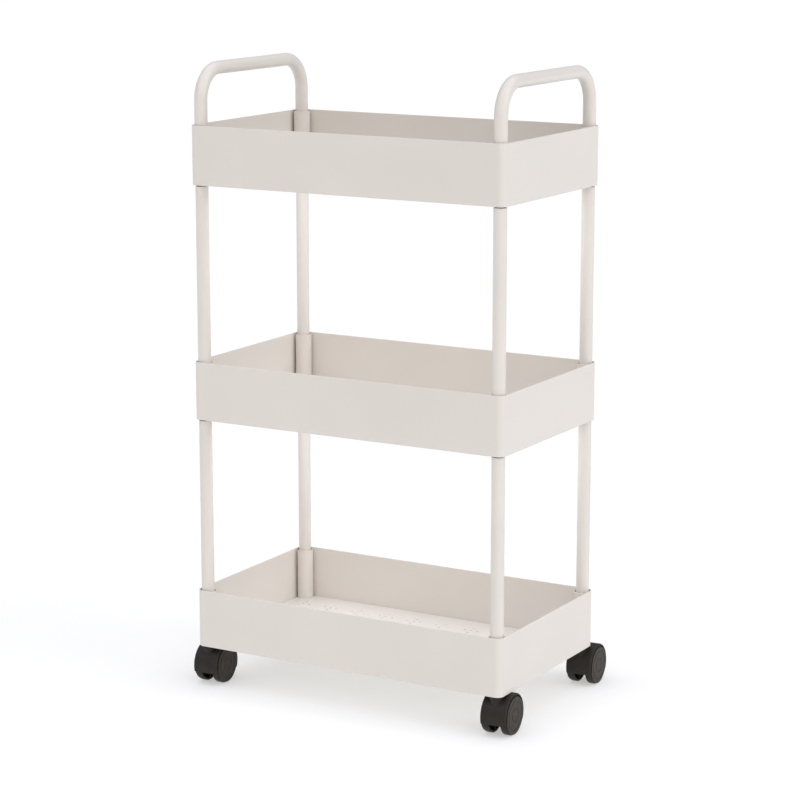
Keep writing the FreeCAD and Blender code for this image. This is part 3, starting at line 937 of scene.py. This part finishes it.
    def ribs(self, inner: float) -> list[bpy.types.Object]:
        """Model the ribs between a wheel's hub and rim.

        Args:
            inner: Where the wheel's open side is along X.

        Returns:
            The ribs, one by one.
        """
        depth = self.wheel_width - self.disc_wall - self.hub_proud
        start = self.hub - self.rib_bite
        end = self.wheel - self.rim_wall + self.rib_bite
        centre = self.axle + Vector((inner + self.hub_proud + depth / 2, 0, (start + end) / 2))
        sides = (depth, self.rib, end - start)
        first = new_piece(bpy.ops.mesh.primitive_cube_add, sides, size=1, location=centre)
        round_edges(first, self.wheel_edge, 2, sharper_than=60)
        to_axle = Matrix.Translation(self.axle)
        step = 2 * HALF / self.rib_count
        turned = [
            copy_piece(first, to_axle @ Matrix.Rotation(step * index, 4, ALONG) @ to_axle.inverted())
            for index in range(1, self.rib_count)
        ]
        return [first, *turned]

    def build(self, palette: Palette) -> None:
        """Build the four casters."""
        hood = self.hood()
        right = self.right_wheel()
        smooth(right)
        left = copy_piece(right, half_turn_about(self.axle, UP))
        for corner in Corner:
            swivel = joint_place(f"{corner.value}_swivel")
            swivel.z = 0
            place = Matrix.Translation(swivel) @ Matrix.Rotation(self.heading, 4, UP)
            caster = f"{corner.value}_caster"
            install(copy_piece(hood, place), f"{caster}_hood", caster, palette, POLYPROPYLENE)
            for side, master in (("left", left), ("right", right)):
                node = f"{caster}_{side}_wheel"
                install(copy_piece(master, place), node, node, palette, NYLON)
        for master in (hood, left, right):
            remove(master)


@dataclass
class Hardware:
    """Nodes of the frame that keep their own meshes and only get finishes."""

    def build(self, palette: Palette) -> None:
        """Finish the plugs, studs, washers, rings, stems and axles."""
        finishes = {
            POWDER_COAT: ["joining_studs"],
            POLYPROPYLENE: ["post_bottom_plugs", "handle_plugs", "post_top_plugs"],
            ZINC: [
                "caster_washers",
                "stem_retaining_rings",
                *[f"{corner.value}_caster_{part}" for corner in Corner for part in ("stem", "axle")],
            ],
        }
        for finish, nodes in finishes.items():
            for node in nodes:
                palette.dress(frame["nodes"][node], finish)
                LOG.info("%s: %s", node, finish.name)


@dataclass(frozen=True)
class Lamp:
    """A soft studio lamp far away, given by where its light comes from."""

    name: str
    azimuth: float
    elevation: float
    strength: float
    spread: float
    colour: str = WHITE

    def place(self) -> None:
        """Add the lamp to the scene."""
        light = bpy.data.lights.new(self.name, "SUN")
        light.energy = self.strength
        light.angle = math.radians(self.spread)
        light.color = linear(self.colour)[:3]
        lamp = bpy.data.objects.new(self.name, light)
        lamp.rotation_mode = "QUATERNION"
        lamp.rotation_quaternion = direction(self.azimuth, self.elevation).to_track_quat("Z", "Y")
        bpy.context.scene.collection.objects.link(lamp)


@dataclass(frozen=True)
class ShelfGlow:
    """The bounce of a bright room between two trays: a wide lamp close under the upper one."""

    tray: Tier
    power: float = 0.42
    margin: float = 25 * MM
    colour: str = "#f4f6ff"

    def place(self) -> None:
        """Hang the lamp under its tray."""
        low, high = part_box(f"{self.tray.value}_tray_walls")
        size = high - low
        light = bpy.data.lights.new(f"{self.tray.value}_shelf_glow", "AREA")
        light.shape = "RECTANGLE"
        light.size = size.x - 2 * self.margin
        light.size_y = size.y - 2 * self.margin
        light.energy = self.power
        light.color = linear(self.colour)[:3]
        lamp = bpy.data.objects.new(light.name, light)
        lamp.location = ((low.x + high.x) / 2, (low.y + high.y) / 2, low.z - MM)
        lamp.visible_camera = False
        lamp.visible_glossy = False
        bpy.context.scene.collection.objects.link(lamp)


def direction(azimuth: float, elevation: float) -> Vector:
    """The direction out towards an azimuth and elevation.

    Args:
        azimuth: Degrees from the front (-Y) towards the right (+X).
        elevation: Degrees above the horizon.

    Returns:
        A unit vector.
    """
    turn, rise = math.radians(azimuth), math.radians(elevation)
    return Vector((math.sin(turn) * math.cos(rise), -math.cos(turn) * math.cos(rise), math.sin(rise)))


@dataclass
class Studio:
    """A pale, faintly glowing floor, soft lamps and the camera."""

    floor_size: float = 120.0
    floor_colour: str = "#c6c6c6"
    floor_glow: float = 0.44
    sky: float = 0.28
    aim: tuple[float, float, float] = (0.0076, -0.0011, 0.3671)
    azimuth: float = 29.9
    elevation: float = 11.67
    distance: float = 3.19
    lens: float = 116.56
    sensor: float = 36.0
    lamps: tuple[Lamp | ShelfGlow, ...] = (
        Lamp("key_from_the_right", 95, 22, 0.73, 30),
        Lamp("fill_from_the_front", 20, 12, 0.4, 60, "#ffdcb4"),
        Lamp("top_light", 20, 75, 2.25, 110, "#f2f5ff"),
        ShelfGlow(Tier.MIDDLE),
        ShelfGlow(Tier.TOP),
    )

    def floor(self) -> None:
        """Lay the pale floor that the cart stands on."""
        floor = new_piece(bpy.ops.mesh.primitive_plane_add, size=self.floor_size, location=(0, 0, 0))
        floor.name = "studio_floor"
        paint = bpy.data.materials.new("light_table_acrylic")
        paint.use_nodes = True
        settings = {
            "Base Color": linear(self.floor_colour),
            "Roughness": 0.9,
            "Specular IOR Level": 0.1,
            "Emission Color": linear(WHITE),
            "Emission Strength": self.floor_glow,
        }
        for name, value in settings.items():
            paint.node_tree.nodes["Principled BSDF"].inputs[name].default_value = value
        floor.data.materials.append(paint)

    def light(self) -> None:
        """Set the even light of the room and place the lamps."""
        world = bpy.data.worlds.new("soft_room")
        world.use_nodes = True
        background = world.node_tree.nodes["Background"]
        background.inputs["Color"].default_value = linear(WHITE)
        background.inputs["Strength"].default_value = self.sky
        bpy.context.scene.world = world
        for lamp in self.lamps:
            lamp.place()
        bpy.context.scene.view_settings.view_transform = "Standard"

    def camera(self) -> None:
        """Place the camera and make it the scene's."""
        back = direction(self.azimuth, self.elevation)
        lens = bpy.data.cameras.new("camera")
        lens.lens = self.lens
        lens.sensor_width = self.sensor
        lens.clip_end = 2 * self.floor_size
        camera = bpy.data.objects.new("camera", lens)
        camera.location = Vector(self.aim) + self.distance * back
        camera.rotation_mode = "QUATERNION"
        camera.rotation_quaternion = (-back).to_track_quat("-Z", "Y")
        bpy.context.scene.collection.objects.link(camera)
        bpy.context.scene.camera = camera

    def build(self) -> None:
        """Build the studio round the cart."""
        self.floor()
        self.light()
        self.camera()


def main() -> None:
    """Build the cart's looks and the studio, and report each piece."""
    logging.basicConfig(level=logging.INFO, format="%(name)s %(message)s")
    palette = Palette.mix(POWDER_COAT, ZINC, POLYPROPYLENE, NYLON)
    for assembly in (Trays(), FloorPans(), CornerSleeves(), Tubes(), Casters(), Hardware()):
        assembly.build(palette)
    Studio().build()


if __name__ == "__main__":
    main()
